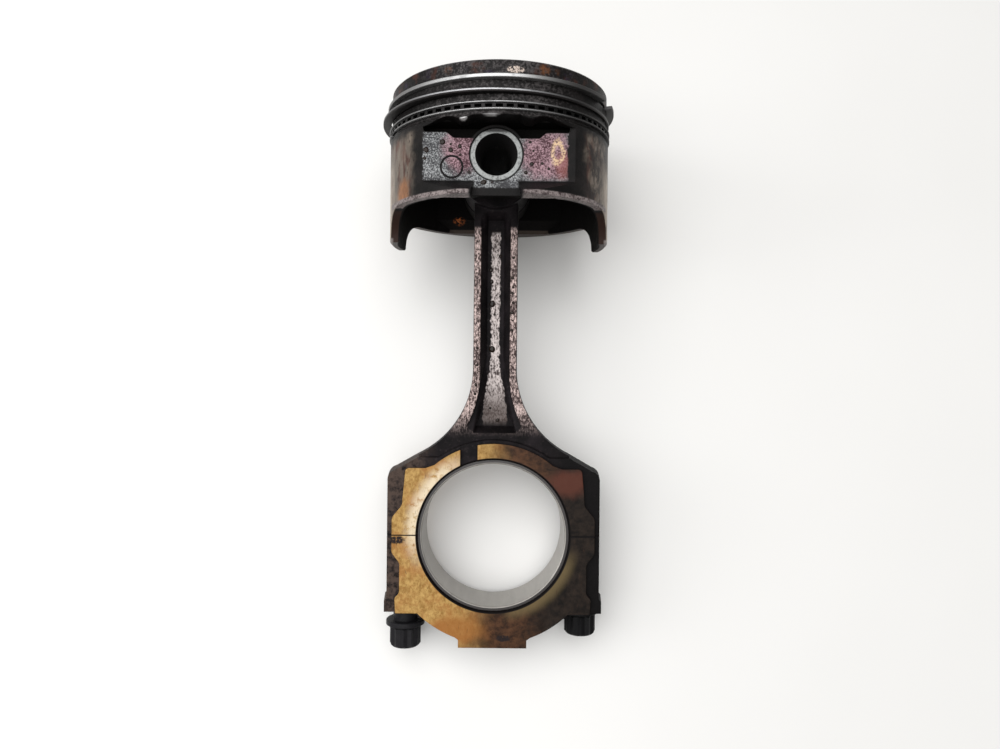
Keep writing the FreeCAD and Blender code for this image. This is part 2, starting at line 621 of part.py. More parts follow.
def make_rod():
    body = new_body("connecting_rod")
    flank_foot = ("flank_x", "flank_y")
    beam = new_sketch(body, "beam_plan", "XY_Plane")
    outline(beam, mirrored([
        ("beam_half", "rod_length"),
        ("beam_half", "flank_start", "flank_r"),
        flank_foot,
        ("flank_x", "flank_y - 4"),
        ("0", "flank_y - 4"),
    ]))
    extrude(body, "Pad", "beam", beam, "beam_thick", side="Two sides", draft="-3")
    block = new_sketch(body, "block_plan", "XY_Plane")
    outline(block, mirrored([
        ("0", "block_top_r", "-block_top_r"),
        ("block_top_x", "sqrt(block_top_r * block_top_r - block_top_x * block_top_x)"),
        flank_foot,
        ("shoulder_x", "shoulder_y", "-shoulder_r"),
        ("block_half", "shoulder_y - shoulder_r"),
        ("block_half", "-trim"),
        ("0", "-trim"),
    ]))
    extrude(body, "Pad", "block", block, "block_thick", side="Two sides", draft="-forge_draft")
    eye = new_sketch(body, "eye_plan", "XY_Plane")
    circle(eye, "0", "rod_length", "eye_r")
    extrude(body, "Pad", "eye", eye, "eye_half * 2", side="Symmetric")
    face = new_sketch(body, "face_plan", "XY_Plane")
    outline(face, mirrored([
        ("0", "face_r", "-face_r"),
        ("face_x", "sqrt(face_r * face_r - face_x * face_x)"),
        ("face_x + 3.3", "ear_y"),
        ("ear_x", "ear_y", "-ear_r"),
        ("ear_x + ear_r", "ear_y - ear_r"),
        ("face_neck", "face_neck_y", "4"),
        ("face_neck + 1.2", "face_neck_y - 3.4"),
        ("face_wide - 0.8", "face_wide_y + 2.4", "-3"),
        ("face_wide", "face_wide_y"),
        ("face_wide", "0"),
        ("0", "0"),
    ]))
    extrude(body, "Pad", "thrust_face", face, "face_half * 2", side="Symmetric")

    below = "-trim - 1"
    square_off(body, [("0", "0"), ("block_half + 1", "0"), ("block_half + 1", below), ("0", below)])

    for side, reverse in (("", False), ("-", True)):
        name = f"channel{side.replace('-', '_back')}"
        channel = new_sketch(body, f"{name}_plan", "XY_Plane", f"{side}beam_thick")
        outline(channel, mirrored([
            ("0", "channel_head_y"),
            ("channel_half - 2.5", "channel_head_y", "-2.5"),
            ("channel_half", "channel_head_y - 2.5"),
            ("channel_half", "flank_start", "channel_foot_r"),
            ("channel_foot_half", "channel_foot_y + 2.2", "-2.2"),
            ("channel_foot_half - 2", "channel_foot_y - 0.2"),
            ("0", "channel_foot_y - 0.2"),
        ]))
        depth = "beam_thick - channel_floor"
        extrude(body, "Pocket", name, channel, depth, reverse=reverse, draft="-channel_draft")

    split_bore(body)
    tang_slot(body, "")
    eye_bore = new_sketch(body, "eye_bore_plan", "XY_Plane")
    circle(eye_bore, "0", "rod_length", "pin_r")
    extrude(body, "Pocket", "eye_bore", eye_bore, "all", side="Symmetric")
    slot = new_sketch(body, "oil_slot_plan", "XY_Plane", "face_half")
    outline(slot, [("-slot_in", "24"), ("-slot_in", "36"), ("-slot_out", "36"), ("-slot_out", "24")])
    extrude(body, "Pocket", "oil_slot", slot, "slot_depth")

    # bolt holes: a fitted length below, the tapped length above
    for name, radius, start, length in (
            ("fitted_holes", "shank_r + bolt_play", "0", "thread_start"),
            ("tapped_holes", "thread_r", "-thread_start", "thread_depth - thread_start")):
        holes = new_sketch(body, f"{name}_plan", "XZ_Plane", start)
        for sign in ("", "-"):
            circle(holes, f"{sign}bolt_x", "0", radius)
        extrude(body, "Pocket", name, holes, length)
    return body


def make_cap():
    body = new_body("rod_cap")
    block = new_sketch(body, "cap_plan", "XY_Plane")
    corner_y = "sqrt(cap_r * cap_r - cap_r_end * cap_r_end)"
    arc_start = "sqrt(cap_r * cap_r - seat_y * seat_y)"
    lower_edge = [
        ("cap_r_end", f"-{corner_y}"),
        ("cap_pad_half", f"-{corner_y} - 0.9"),
        ("cap_pad_half", "-cap_pad_y"),
        ("0", "-cap_pad_y"),
    ]
    outline(block, mirrored([
        ("0", "trim"),
        ("block_half", "trim"),
        ("block_half", "-foot_y + 0.6"),
        ("foot_half", "-foot_y - 0.6"),
        ("foot_half", "-seat_y - trim"),
        ("sqrt(cap_r * cap_r - (seat_y + trim) * (seat_y + trim))", "-seat_y - trim", "-cap_r"),
    ] + lower_edge))
    extrude(body, "Pad", "cap_block", block, "block_thick", side="Two sides", draft="-forge_draft")
    face = new_sketch(body, "cap_face_plan", "XY_Plane")
    outline(face, mirrored([
        ("0", "0"),
        ("face_wide", "0"),
        ("face_wide", "-face_wide_y", "-3"),
        ("face_wide - 0.8", "-face_wide_y - 2.4"),
        ("cap_neck + 0.5", "-cap_neck_top + 2", "3"),
        ("cap_neck", "-cap_neck_top"),
        ("cap_neck", "-cap_neck_foot", "2.5"),
        ("cap_neck + 0.7", "-cap_neck_foot - 1.8", "-2"),
        ("cap_foot_face", "-cap_neck_foot - 4"),
        ("cap_foot_face - 0.2", "-seat_y"),
        (arc_start, "-seat_y", "-cap_r"),
    ] + lower_edge))
    extrude(body, "Pad", "cap_thrust_face", face, "face_half * 2", side="Symmetric")
    above = "trim + 1"
    square_off(body, [("0", "0"), ("foot_half + 1", "0"), ("foot_half + 1", above), ("0", above)])
    underside = new_sketch(body, "cap_underside_plan", "XY_Plane")
    for sign in ("", "-"):
        outline(underside, [
            (f"{sign}({arc_start})", "-seat_y"),
            (f"{sign}(foot_half + 1)", "-seat_y"),
            (f"{sign}(foot_half + 1)", "-seat_y - trim - 1"),
            (f"{sign}({arc_start})", "-seat_y - trim - 1"),
        ])
    extrude(body, "Pocket", "cap_underside", underside, "all", side="Symmetric")
    split_bore(body)
    tang_slot(body, "-")
    holes = new_sketch(body, "cap_holes_plan", "XZ_Plane")
    for sign in ("", "-"):
        circle(holes, f"{sign}bolt_x", "0", "shank_r + bolt_play")
    extrude(body, "Pocket", "cap_holes", holes, "all", reverse=True)
    seats = new_sketch(body, "cap_seats_plan", "XZ_Plane", "seat_y")
    for sign in ("", "-"):
        circle(seats, f"{sign}bolt_x", "0", "flange_r + spot_play")
    extrude(body, "Pocket", "cap_seats", seats, "cap_pad_y - seat_y", reverse=True)
    return body


# ------------------------------------------------------------------------- bearing shells and bolts

def make_shell(label, side):
    """Half a plain bearing: side is "" for the rod's half, "-" for the cap's half."""
    body = new_body(label)
    plan = new_sketch(body, f"{label}_plan", "XY_Plane")
    arc = "-" if side else ""
    back = "" if side else "-"
    outline(plan, [
        ("bore_r", "0", f"{arc}bore_r"),
        ("0", f"{side}bore_r", f"{arc}bore_r"),
        ("-bore_r", "0"),
        ("-shell_r", "0", f"{back}shell_r"),
        ("0", f"{side}shell_r", f"{back}shell_r"),
        ("shell_r", "0"),
    ])
    extrude(body, "Pad", f"{label}_band", plan, "shell_half * 2", side="Symmetric")
    tang = new_sketch(body, f"{label}_tang_plan", "XY_Plane", "tang_z")
    outline(tang, [
        ("bore_r - 0.7", "0"),
        ("bore_r + tang_deep", "0"),
        ("bore_r - 0.3", f"{side}tang_high"),
        ("bore_r - 0.7", f"{side}tang_high"),
    ])
    extrude(body, "Pad", f"{label}_tang", tang, "tang_wide", side="Symmetric")
    dress(body, "Chamfer", f"{label}_chamfer", "shell_chamfer", lambda edge: is_circle(edge, "shell_r"))
    return body


def make_bolt(label):
    """A rod bolt along Z: underside of its flange at 0, thread upwards, twelve-pointed head below."""
    body = new_body(label)
    section = new_sketch(body, f"{label}_section", "XZ_Plane")
    thread_from = "seat_y + thread_start - 0.6"
    outline(section, [
        ("0", "-head_base"),
        ("head_valley_r", "-head_base"),
        ("flange_r", "-flange_high"),
        ("flange_r", "-0.3"),
        ("flange_r - 0.3", "0"),
        ("shank_r", "0"),
        ("shank_r", thread_from),
        ("thread_r", f"{thread_from} + 0.1"),
        ("thread_r", "bolt_reach - 1"),
        ("thread_r - 1", "bolt_reach"),
        ("0", "bolt_reach"),
    ])
    turn(body, "Revolution", f"{label}_shaft", section)
    head = new_sketch(body, f"{label}_head_plan", "XY_Plane", "-head_base")
    points = 12
    corners = []
    for i in range(points):
        for radius, turned in (("head_r", i), ("head_valley_r", i + 0.5)):
            angle = 360 * turned / points
            corners.append((f"{radius} * cos({angle})", f"{radius} * sin({angle})"))
    outline(head, corners)
    extrude(body, "Pad", f"{label}_head", head, "head_high - head_base", reverse=True)
    crop = new_sketch(body, f"{label}_crop_section", "XZ_Plane")
    outline(crop, [
        ("head_r - head_chamfer", "-head_high"),
        ("head_r + 0.2", "-head_high + head_chamfer + 0.2"),
        ("head_r + 0.2", "-head_high"),
    ])
    turn(body, "Groove", f"{label}_crop", crop)
    hollow = new_sketch(body, f"{label}_hollow_plan", "XY_Plane", "-head_high")
    circle(hollow, "0", "0", "dimple_r")
    extrude(body, "Pocket", f"{label}_hollow", hollow, "dimple_deep", reverse=True)
    return body


# -------------------------------------------------------------------------------------- assembly

GROOVE_1 = "crown_top - top_land - ring_groove / 2"
GROOVE_2 = f"{GROOVE_1} - ring_groove - second_land"
OIL_MIDDLE = f"{GROOVE_2} - ring_groove / 2 - third_land - oil_groove / 2"
RAIL_LIFT = "(oil_groove / 2 - rail_height / 2 - 0.03)"
COMPRESSION = ("ring_r", "ring_width", "ring_height", "ring_gap")
RAIL = ("rail_r", "rail_width", "rail_height", "rail_gap")

X_AXIS = FreeCAD.Vector(1, 0, 0)
Z_AXIS = FreeCAD.Vector(0, 0, 1)


def placed(x=0.0, y=0.0, z=0.0, axis=X_AXIS, angle=0.0):
    return FreeCAD.Placement(FreeCAD.Vector(x, y, z), FreeCAD.Rotation(axis, angle))


in_rod = placed()
in_piston = placed(y=number("rod_length"), angle=-90)


def ring_place(middle_of_gap, gap, shift=number("pin_offset")):
    """Where a ring sits in the piston: the middle of its gap at an angle about the piston's axis."""
    return in_piston.multiply(placed(x=shift, axis=Z_AXIS, angle=middle_of_gap + number(gap) / 2))


def bolt_place(sign, backed_out):
    return placed(x=sign * number("bolt_x"), y=-number("seat_y") - backed_out, angle=-90)


top_shift = number("pin_offset + top_shift")
second_shift = number("pin_offset + second_shift")
PIECES = [
    (make_piston(), in_piston),
    (make_ring("top_compression_ring", *COMPRESSION, GROOVE_1), ring_place(-24, "ring_gap", top_shift)),
    (make_ring("second_compression_ring", *COMPRESSION, GROOVE_2),
     ring_place(150, "ring_gap", second_shift)),
    (make_ring("oil_ring_upper_rail", *RAIL, f"{OIL_MIDDLE} + {RAIL_LIFT}"), ring_place(35, "rail_gap")),
    (make_expander(), ring_place(90, "expander_gap")),
    (make_ring("oil_ring_lower_rail", *RAIL, f"{OIL_MIDDLE} - {RAIL_LIFT}"), ring_place(-160, "rail_gap")),
    (make_wrist_pin(), placed(y=number("rod_length"))),
    (make_rod(), in_rod),
    (make_cap(), in_rod),
    (make_shell("upper_bearing_shell", ""), in_rod),
    (make_shell("lower_bearing_shell", "-"), in_rod),
    (make_bolt("left_rod_bolt"), bolt_place(-1, number("backed_out"))),
    (make_bolt("right_rod_bolt"), bolt_place(1, 0.0)),
]

# The object lies on the piston's round lower rim, either side of its notch, and on the edge of the cap's pad.
rim_z = number("sqrt(skirt_r * skirt_r - (notch_half + 0.6) * (notch_half + 0.6))")
rim_contact = FreeCAD.Vector(0, number("rod_length - rim_drop"), -rim_z)
pad_contact = FreeCAD.Vector(0, -number("cap_pad_y"), -number("face_half"))
lie_angle = math.degrees(math.atan2(pad_contact.z - rim_contact.z, rim_contact.y - pad_contact.y))
tilt = placed(angle=lie_angle)
box = FreeCAD.BoundBox()
for body, place in PIECES:
    body.Placement = tilt.multiply(place)
doc.recompute()
for body, _ in PIECES:
    box.add(body.Shape.optimalBoundingBox())
stand = placed(x=-box.Center.x, y=-box.Center.y, z=-box.ZMin).multiply(tilt)
for body, place in PIECES:
    body.Placement = stand.multiply(place)
doc.recompute()

for item in doc.Objects:
    if "Invalid" in item.State or "Error" in item.State:
        raise RuntimeError(f"{item.Name} failed: {item.State}")
for body, _ in PIECES:
    if body.Shape.isNull() or not body.Shape.isValid() or len(body.Shape.Solids) != 1:
        raise RuntimeError(f"{body.Label} is not one valid solid")
os.makedirs("parts", exist_ok=True)
for body, _ in PIECES:
    body.Shape.exportStep(f"parts/{body.Label}.step")
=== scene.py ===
import json
import math
import random

import bmesh
import bpy
from mathutils import Matrix, Vector
from mathutils.bvhtree import BVHTree


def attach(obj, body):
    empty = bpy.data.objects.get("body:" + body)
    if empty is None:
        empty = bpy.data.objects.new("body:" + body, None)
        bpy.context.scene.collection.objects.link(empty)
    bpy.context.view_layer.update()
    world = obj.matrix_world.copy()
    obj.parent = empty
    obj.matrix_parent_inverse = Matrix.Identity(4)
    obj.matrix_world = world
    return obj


# A used engine piston on its connecting rod, lying on a pale table.
#
# Places are given in the rod frame, in millimetres, and turned into the row frame by at():
# the origin is the big-end centre, X runs across the rod, Y along it to the piston, Z along the wrist pin
# towards the upper side.

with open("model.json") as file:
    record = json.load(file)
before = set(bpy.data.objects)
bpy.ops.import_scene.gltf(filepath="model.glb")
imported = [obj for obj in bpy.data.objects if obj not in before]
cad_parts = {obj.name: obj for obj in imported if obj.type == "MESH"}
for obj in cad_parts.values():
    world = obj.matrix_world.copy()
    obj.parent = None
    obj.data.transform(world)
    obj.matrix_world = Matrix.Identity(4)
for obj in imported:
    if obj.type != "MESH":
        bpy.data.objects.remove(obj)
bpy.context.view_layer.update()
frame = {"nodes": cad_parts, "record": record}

MM = 0.001
record = frame["record"]
JOINTS = {joint["name"]: joint for joint in record["behaviour"]["joints"]}
MOUNTS = {mount["name"]: mount for mount in record["mounts"]}

ORIGIN = Vector(MOUNTS["crankpin_bore"]["pos_m"])
PIN = Vector(JOINTS["piston_swing"]["pos_m"])
ALONG_PIN = Vector(JOINTS["piston_swing"]["axis"]).normalized()
ALONG_ROD = (PIN - ORIGIN).normalized()
ACROSS = ALONG_ROD.cross(ALONG_PIN)

# the CAD's own measures, in the rod frame
ROD_LENGTH = (PIN - ORIGIN).length / MM
CROWN_TOP = ROD_LENGTH + 28.5
SECOND_RING_Y = ROD_LENGTH + 17.775
TOP_LAND_LOW = 23.1
FLAT_Z = 31.3
PISTON_X = 0.9
SKIRT_R = 40.5
SKIRT_INNER_R = 37.2
TONGUE_END = -26.0
PIN_MOUTH_R = 7.15
FACE_Z = 11.0
BEAM_Z = 7.5
BORE_R = 27.5
SHELL_R = 26.0


def at(x, y, z):
    """A place in the rod frame, in the row frame's metres."""
    return ORIGIN + (ACROSS * x + ALONG_ROD * y + ALONG_PIN * z) * MM


# ---------------------------------------------------------------------------------------- materials

class Paint:
    """One material's node tree, built a value at a time. Every method returns an output socket."""

    def __init__(self, name):
        self.material = bpy.data.materials.new(name)
        self.material.use_nodes = True
        self.tree = self.material.node_tree
        self.shader = self.tree.nodes["Principled BSDF"]
        coords = self.add("TexCoord", out="Object")
        local = self.vector("SUBTRACT", coords, tuple(ORIGIN))
        self.x = self.along(local, ACROSS)
        self.y = self.along(local, ALONG_ROD)
        self.z = self.along(local, ALONG_PIN)
        self.place = self.add("CombineXYZ", {0: self.x, 1: self.y, 2: self.z})

    def add(self, kind, inputs=None, out=0, **settings):
        node = self.tree.nodes.new("ShaderNode" + kind)
        for key, value in settings.items():
            setattr(node, key, value)
        for key, value in (inputs or {}).items():
            if isinstance(value, bpy.types.NodeSocket):
                self.tree.links.new(value, node.inputs[key])
            else:
                node.inputs[key].default_value = value
        return node.outputs[out]

    def vector(self, operation, a, b, out=0):
        return self.add("VectorMath", {0: a, 1: b}, out=out, operation=operation)

    def along(self, local, direction):
        return self.vector("DOT_PRODUCT", local, tuple(direction / MM), out="Value")

    def calc(self, operation, a, b=0.0):
        return self.add("Math", {0: a, 1: b}, operation=operation)

    def many(self, operation, *values):
        result = values[0]
        for value in values[1:]:
            result = self.calc(operation, result, value)
        return result

    def step(self, value, low, high):
        """0 below low, 1 above high, smooth between; the other way round where low is above high."""
        inputs = {"Value": value, "From Min": low, "From Max": high}
        return self.add("MapRange", inputs, interpolation_type="SMOOTHSTEP")

    def between(self, value, low, high, soft):
        rise = self.step(value, low - soft, low + soft)
        return self.calc("MULTIPLY", rise, self.step(value, high + soft, high - soft))

    def inverse(self, value):
        return self.calc("SUBTRACT", 1.0, value)

    def offset(self, noise, amount):
        """Noise from 0 to 1 as an offset, up to half of the amount either way."""
        return self.calc("MULTIPLY", self.calc("SUBTRACT", noise, 0.5), amount)

    def on_level(self, value, level, soft=0.0):
        """1 on a face at this level, 0 a quarter of a millimetre away from it."""
        rise = self.step(value, level - 0.25, level - 0.05 - soft)
        return self.calc("MULTIPLY", rise, self.step(value, level + 0.3, level + 0.15))

    def from_axis(self, x, y):
        """Distance from an axis, where x and y are measured from it."""
        place = self.add("CombineXYZ", {0: x, 1: y})
        return self.vector("LENGTH", place, (0, 0, 0), out="Value")

    def noise(self, scale, detail=3.0, rough=0.55, warp=0.0, stretch=(1, 1, 1), seed=0.0):
        """Cloudy noise from 0 to 1, scale features per millimetre."""
        place = self.vector("MULTIPLY", self.place, stretch)
        place = self.vector("ADD", place, (seed * 17.0, seed * 5.0, seed * 29.0))
        inputs = {"Vector": place, "Scale": scale, "Detail": detail, "Roughness": rough, "Distortion": warp}
        return self.add("TexNoise", inputs)

    def cells(self, scale, seed=0.0):
        """Distance from the nearest of scattered points, in units of their spacing."""
        place = self.vector("ADD", self.place, (seed * 11.0, seed * 7.0, seed * 3.0))
        return self.add("TexVoronoi", {"Vector": place, "Scale": scale}, out="Distance", feature="F1")

    def spot(self, x, y, z, radius, soft=0.5, flat=(1, 1, 1)):
        """1 inside an ellipsoid about a place, fading over soft of its radius, its edge made uneven."""
        offset = self.vector("SUBTRACT", self.place, (x, y, z))
        offset = self.vector("MULTIPLY", offset, tuple(1 / side for side in flat))
        distance = self.vector("LENGTH", offset, (0, 0, 0), out="Value")
        uneven = self.calc("MULTIPLY_ADD", self.noise(0.9 / radius, 4.0, 0.65), radius)
        uneven.node.inputs[2].default_value = radius * -0.5
        distance = self.calc("ADD", distance, uneven)
        return self.step(distance, radius * (1 + soft / 2), radius * (1 - soft / 2))

    def mixed(self, factor, a, b):
        """Colour a where factor is 0, b where it is 1."""
        def colour(value):
            return value if isinstance(value, bpy.types.NodeSocket) else (*value, 1.0)
        return self.add("Mix", {0: factor, 6: colour(a), 7: colour(b)}, out=2, data_type="RGBA")

    def blend(self, factor, a, b):
        """Number a where factor is 0, b where it is 1."""
        return self.add("Mix", {0: factor, 2: a, 3: b}, out=0, data_type="FLOAT")

    def rounded(self, radius):
        """The surface's normal, as if its edges were rounded to a radius in millimetres."""
        return self.add("Bevel", {"Radius": radius * MM}, samples=6)

    def bumped(self, height, depth, normal):
        """A normal raised by a height from 0 to 1, depth millimetres in all."""
        inputs = {"Height": height, "Distance": depth * MM, "Strength": 1.0, "Normal": normal}
        return self.add("Bump", inputs, out="Normal")

    def finish(self, **sockets):
        """The material, once its shader's sockets are linked or set. Their names have _ for a space."""
        for name, value in sockets.items():
            socket = self.shader.inputs[name.replace("_", " ")]
            if isinstance(value, bpy.types.NodeSocket):
                self.tree.links.new(value, socket)
            else:
                socket.default_value = value
        return self.material


SOOT = (0.005, 0.0045, 0.0045)
SMOKE = (0.011, 0.009, 0.009)


def speckled(p, normal, depth=0.16):
    """The bump of a blasted or cast surface under a film of oil."""
    fine = p.noise(2.3, 3.0, 0.7)
    coarse = p.noise(0.75, 2.0, 0.5, seed=1.0)
    height = p.calc("ADD", p.calc("MULTIPLY", fine, 0.6), p.calc("MULTIPLY", coarse, 0.4))
    return p.bumped(height, depth, normal)


def peppered(p, light, dark, amount=0.5, scale=1.5, seed=0.0, stretch=(1, 1, 1)):
    """A light surface peppered with dark specks, as cast metal looks under thin oil; the light specks are
    partly painted highlights, where the grain catches the light overhead.
    """
    grain = p.noise(scale, 3.0, 0.75, stretch=stretch, seed=seed)
    grain = p.calc("ADD", grain, p.offset(p.noise(0.18, 2.0, 0.5, seed=seed + 0.5), 0.35))
    return p.mixed(p.step(grain, amount - 0.10, amount + 0.13), dark, light)


class PistonPlace:
    """Where a point of the piston is: height over the pin's centre, distances from the pin's middle
    across and along it, and distances from the piston's axis and the pin's."""

    def __init__(self, p):
        self.height = p.calc("SUBTRACT", p.y, ROD_LENGTH)
        self.side = p.calc("ABSOLUTE", p.x)
        self.up = p.calc("ABSOLUTE", p.z)
        self.radius = p.from_axis(p.calc("SUBTRACT", p.x, PISTON_X), p.z)
        self.pin_radius = p.from_axis(p.x, self.height)


def cast_alloy(p, here):
    """Cast metal blackened by oil, and greyer on the ring belt, where it was once rubbed."""
    colour = p.mixed(p.step(p.noise(0.12, 4.0, 0.6), 0.45, 0.75), SOOT, SMOKE)
    belt = p.calc("MULTIPLY", p.step(here.radius, 39.4, 39.6), p.step(here.height, 9.8, 10.4))
    greyed = peppered(p, (0.066, 0.060, 0.060), (0.009, 0.008, 0.008), 0.54, 1.1, 1.5)
    return p.mixed(p.calc("MULTIPLY", belt, p.step(here.side, 33.0, 12.0)), colour, greyed)


def on_side_flat(p, here):
    """1 on the bare flats beside the pin, down to the lobe under it."""
    edge = p.calc("ABSOLUTE", p.calc("ADD", p.x, 0.37))
    edge = p.calc("ADD", edge, p.offset(p.noise(0.6, 3.0), 2.0))
    lobe = p.calc("MULTIPLY", p.step(here.side, 8.0, 7.0), p.step(here.height, -11.6, -10.9))
    over_ledge = p.calc("MAXIMUM", p.step(here.height, -9.2, -8.5), lobe)
    pocket_edge = p.calc("MULTIPLY", p.step(here.side, 13.6, 17.4), 1.9)
    below_pocket = p.step(p.calc("SUBTRACT", here.height, pocket_edge), 5.4, 5.1)
    level = p.on_level(here.up, FLAT_Z)
    return p.many("MULTIPLY", level, p.step(edge, 24.6, 23.9), over_ledge, below_pocket)


def flat_metal(p, here):
    """Bare frosted metal, its light tone partly a painted reflection of the light overhead, tinted pink near
    the pin and at the right, with a ring-shaped stain and painted shade low on the right of the lobe.
    """
    bare = peppered(p, (0.35, 0.36, 0.365), (0.036, 0.036, 0.039), 0.54, 2.1)
    pink = peppered(p, (0.37, 0.235, 0.265), (0.052, 0.022, 0.028), 0.51, 2.0, 2.0)
    tinted = p.calc("MAXIMUM", p.spot(-11.5, ROD_LENGTH + 1.0, FLAT_Z, 6.0, 0.8, (1, 1.2, 1)),
                    p.spot(17.5, ROD_LENGTH - 0.5, FLAT_Z, 9.0, 0.8))
    bare = p.mixed(tinted, bare, pink)
    rust = p.spot(22.6, ROD_LENGTH - 3.5, FLAT_Z, 3.6, 0.9, (0.8, 1.2, 1))
    bare = p.mixed(p.calc("MULTIPLY", rust, 0.6), bare, (0.20, 0.060, 0.050))
    stain = p.calc("SUBTRACT", p.spot(20.6, ROD_LENGTH + 0.6, FLAT_Z, 2.5, 0.35, (0.95, 1.7, 1)),
                   p.spot(20.6, ROD_LENGTH + 0.6, FLAT_Z, 1.3, 0.8, (0.9, 1.7, 1)))
    stain = p.calc("MULTIPLY", stain, p.step(p.noise(1.3, 3.0, 0.7, seed=3.0), 0.42, 0.52))
    bare = p.mixed(p.calc("MAXIMUM", stain, 0.0), bare, (0.60, 0.43, 0.27))
    # painted shade, low on the right of the lobe under the pin
    shaded = p.calc("MULTIPLY", p.step(p.x, 0.5, 5.5), p.step(here.height, -8.6, -9.4))
    return p.mixed(p.calc("MULTIPLY", shaded, 0.5), bare, (0.05, 0.05, 0.055))


def on_outer_skirt(p, here):
    """1 on the skirt's outer face, with an uneven upper edge and uneven sides."""
    outside = p.step(here.radius, SKIRT_R - 0.3, SKIRT_R - 0.1)
    sooty_top = p.calc("ADD", here.height, p.calc("MULTIPLY", p.noise(0.35, 3.0, seed=6.5), 5.0))
    band = p.calc("ADD", here.up, p.calc("MULTIPLY", p.noise(0.3, 3.0, seed=6.7), 4.0))
    return p.many("MULTIPLY", outside, p.step(sooty_top, 12.4, 8.4), p.step(band, 31.5, 27.5))


def skirt_metal(p, here):
    """Rubbed grey-beige metal, with reddish-brown varnish streaks running down, and pale near both edges,
    partly from wear and partly a painted sheen.
    """
    streaks = p.noise(0.35, 4.0, 0.65, 0.4, (1.0, 0.16, 1.0), seed=4.0)
    rubbed = p.mixed(streaks, (0.050, 0.040, 0.034), (0.25, 0.205, 0.165))
    varnish = p.step(p.noise(0.22, 4.0, 0.6, 0.6, (1.0, 0.35, 1.0), seed=5.0), 0.46, 0.66)
    rubbed = p.mixed(varnish, rubbed, (0.070, 0.026, 0.018))
    golden = p.spot(-32.0, ROD_LENGTH - 11.0, 23.0, 3.4, 0.9, (0.8, 1.3, 1.5))
    rubbed = p.mixed(golden, rubbed, (0.25, 0.115, 0.055))
    specks = p.calc("MULTIPLY", p.step(p.cells(0.75, seed=6.0), 0.26, 0.14),
                    p.step(p.noise(0.4, 2.0, seed=6.1), 0.48, 0.56))
    rubbed = p.mixed(specks, rubbed, (0.030, 0.018, 0.014))
    blackened = p.step(p.noise(0.16, 5.0, 0.7, 0.5, (1.0, 0.5, 1.0), seed=6.2), 0.60, 0.44)
    blackened = p.calc("MULTIPLY", blackened, p.blend(p.step(p.x, -10.0, 20.0), 0.35, 0.92))
    rubbed = p.mixed(blackened, rubbed, (0.012, 0.009, 0.009))
    # pale near both edges of the skirt: partly rubbed metal, partly a painted sheen
    pale_wear_and_sheen = p.many("MULTIPLY", p.step(here.side, 34.5, 39.5), p.step(here.height, 4.0, -6.0),
                      p.step(here.up, 24.0, 8.0),
                      p.step(p.noise(0.3, 4.0, 0.65, stretch=(1, 0.5, 1), seed=6.4), 0.16, 0.72))
    return p.mixed(p.calc("MULTIPLY", pale_wear_and_sheen, 0.9), rubbed, (0.56, 0.475, 0.39))


def on_lower_rim(p, here):
    """1 on the machined lower rim, the tongues and the notch apart."""
    wall = p.calc("MAXIMUM", p.step(here.radius, SKIRT_INNER_R + 0.7, SKIRT_INNER_R + 0.9),
                  p.step(here.up, 30.7, 31.0))
    return p.many("MULTIPLY", p.step(here.height, -13.2, -13.7), p.step(here.height, -15.6, -15.2), wall,
                  p.step(here.side, 8.5, 9.5), p.step(here.up, 10.0, 14.0))


def with_lower_edge(p, here, colour, rim):
    """The rim's metal, the bare tips of the tongues and the brown film between the two."""
    rim_metal = peppered(p, (0.23, 0.195, 0.19), (0.045, 0.033, 0.033), 0.47, 1.2, 5.5)
    rim_metal = p.mixed(p.step(p.z, 5.0, -5.0), rim_metal, (0.055, 0.042, 0.034))
    colour = p.mixed(rim, colour, rim_metal)
    tip = p.calc("MULTIPLY", p.step(here.height, TONGUE_END + 1.8, TONGUE_END + 1.0),
                 p.step(here.radius, 39.2, 39.8))
    colour = p.mixed(tip, colour, (0.26, 0.24, 0.23))
    tongue = p.calc("MULTIPLY", p.step(here.height, -15.6, -16.4),
                    p.step(here.radius, SKIRT_R - 0.2, SKIRT_R - 0.5))
    return p.mixed(p.calc("MULTIPLY", tongue, 0.5), colour, (0.040, 0.018, 0.012))


def with_top_land(p, here, colour):
    """Baked carbon with orange and violet tints, and a chip down to bare metal."""
    land = p.step(here.height, TOP_LAND_LOW, TOP_LAND_LOW + 0.2)
    tint = p.step(p.noise(0.16, 3.0, 0.6, seed=7.0), 0.52, 0.72)
    colour = p.mixed(p.calc("MULTIPLY", land, tint), colour, (0.050, 0.020, 0.014))
    violet = p.step(p.noise(0.2, 3.0, 0.6, seed=8.0), 0.56, 0.74)
    colour = p.mixed(p.many("MULTIPLY", land, violet, 0.7), colour, (0.022, 0.014, 0.034))
    for x, size, strength in ((15.6, 1.7, 0.8), (20.2, 1.2, 0.35), (-16.2, 1.2, 0.4)):
        brown = p.spot(x, CROWN_TOP - 2.4, 36.4, size, 1.0, (1, 1, 2))
        brown = p.many("MULTIPLY", land, brown, p.step(p.noise(0.8, 3.0, seed=8.5), 0.34, 0.58), strength)
        colour = p.mixed(brown, colour, (0.13, 0.052, 0.022))
    chip = p.calc("MULTIPLY", land, p.spot(5.9, CROWN_TOP - 3.4, 39.2, 2.3, 0.35, (1.25, 0.5, 2)))
    chip = p.calc("MULTIPLY", chip, p.step(p.noise(1.4, 4.0, 0.75, seed=9.0), 0.47, 0.53))
    return p.mixed(chip, colour, (0.46, 0.38, 0.33)), chip


